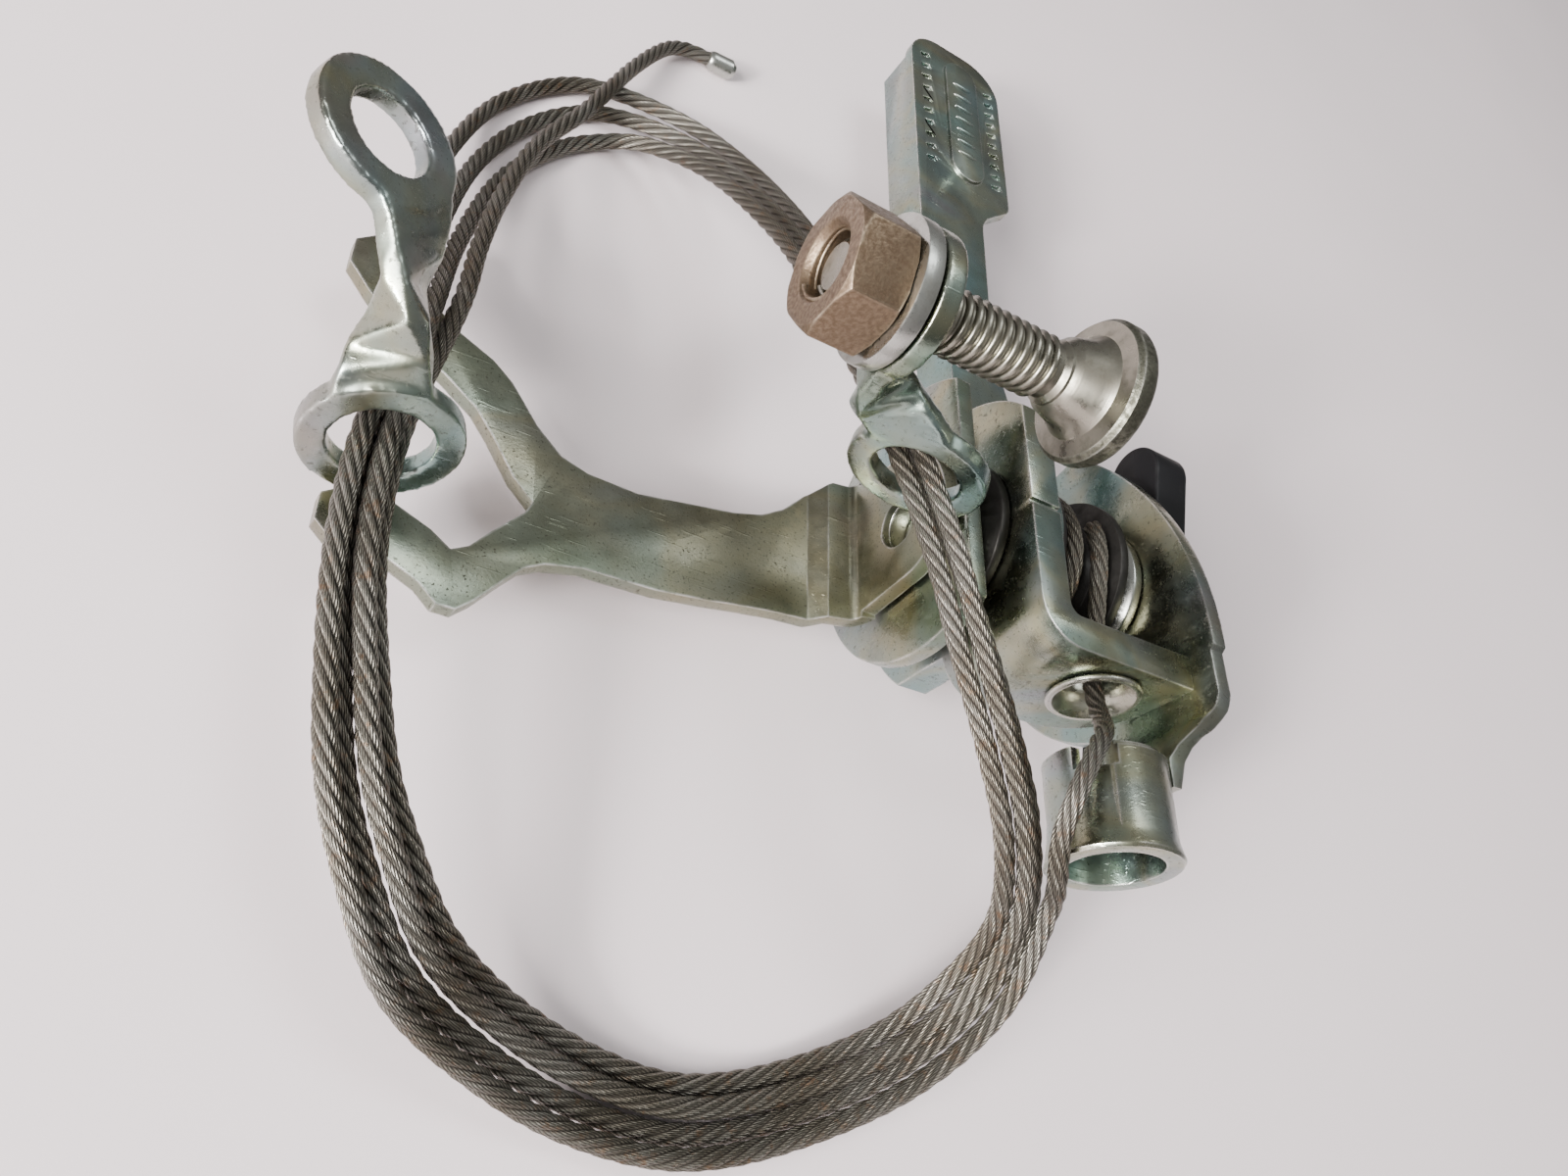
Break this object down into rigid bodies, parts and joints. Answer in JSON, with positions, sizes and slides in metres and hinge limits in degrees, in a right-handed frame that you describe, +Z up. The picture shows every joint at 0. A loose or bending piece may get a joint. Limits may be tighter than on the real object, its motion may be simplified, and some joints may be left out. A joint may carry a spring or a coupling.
{
  "type": "thumb lever cable control",
  "caption": "Pressed-steel thumb lever cable control with a winding drum, fork bracket, casing socket, twisted clamp links, clamp bolt and a coil of wire rope.",
  "frame": {"origin": "centre of the tapped pivot hole, on the outer face of the bracket's tab", "axes": "+X along the pivot towards the knob, +Y towards the lever's tip, +Z up from the surface it lies on"},
  "size_m": [0.0943, 0.1398, 0.0436],
  "materials": {
    "zinc": "zinc plated, slightly blue and yellow, specked",
    "zinc_bright": "bright zinc",
    "bronze_nut": "yellowed zinc, grainy",
    "dark_steel": "dark, oiled",
    "brass": "dull",
    "rope": "stranded galvanised wire",
    "black_plastic": "moulded, satin"
  },
  "bodies": {
    "base": {"fork_bracket": "zinc", "base_plate": "zinc", "friction_washer": "dark_steel", "main_frame": "zinc", "cable_eyelet": "zinc_bright", "side_cover": "zinc", "thrust_washer": "dark_steel", "knob_washer": "zinc_bright", "cable_lead": "rope", "cable_exit": "rope", "cable_coil": "rope", "cable_tail": "rope", "cable_end": "zinc_bright"},
    "lever_arm": {"lever": "zinc", "drum": "dark_steel", "drum_bush": "brass", "drum_winding": "rope", "cable_nipple": "zinc_bright"},
    "knob": {"wing_knob": "black_plastic", "pivot_screw": "zinc_bright"},
    "loose_link": {"left_link": "zinc"},
    "clamp": {"right_link": "zinc", "clamp_bolt": "zinc_bright", "clamp_washer": "zinc_bright"},
    "nut": {"clamp_nut": "bronze_nut"}
  },
  "joints": [
    {"name": "lever_swing", "type": "hinge", "parent": "base", "child": "lever_arm", "pos_m": [0, 0, 0], "axis": [1, 0, 0], "range_deg": [0, 105]},
    {"name": "knob_turn", "type": "hinge", "parent": "base", "child": "knob", "pos_m": [0, 0, 0], "axis": [1, 0, 0], "range_deg": [-90, 90]},
    {"name": "loose_link_swing", "type": "hinge", "parent": "base", "child": "loose_link", "pos_m": [-0.0471, -0.009, -0.002], "axis": [0, 1, 0], "range_deg": [-15, 20]},
    {"name": "clamp_swing", "type": "hinge", "parent": "base", "child": "clamp", "pos_m": [-0.0057, -0.0026, 0.0105], "axis": [-0.3217, 0.9449, -0.0603], "range_deg": [-15, 10]},
    {"name": "nut_turn", "type": "hinge", "parent": "clamp", "child": "nut", "pos_m": [0, 0.0018, 0.0223], "axis": [1, 0, 0], "continuous": true}
  ]
}
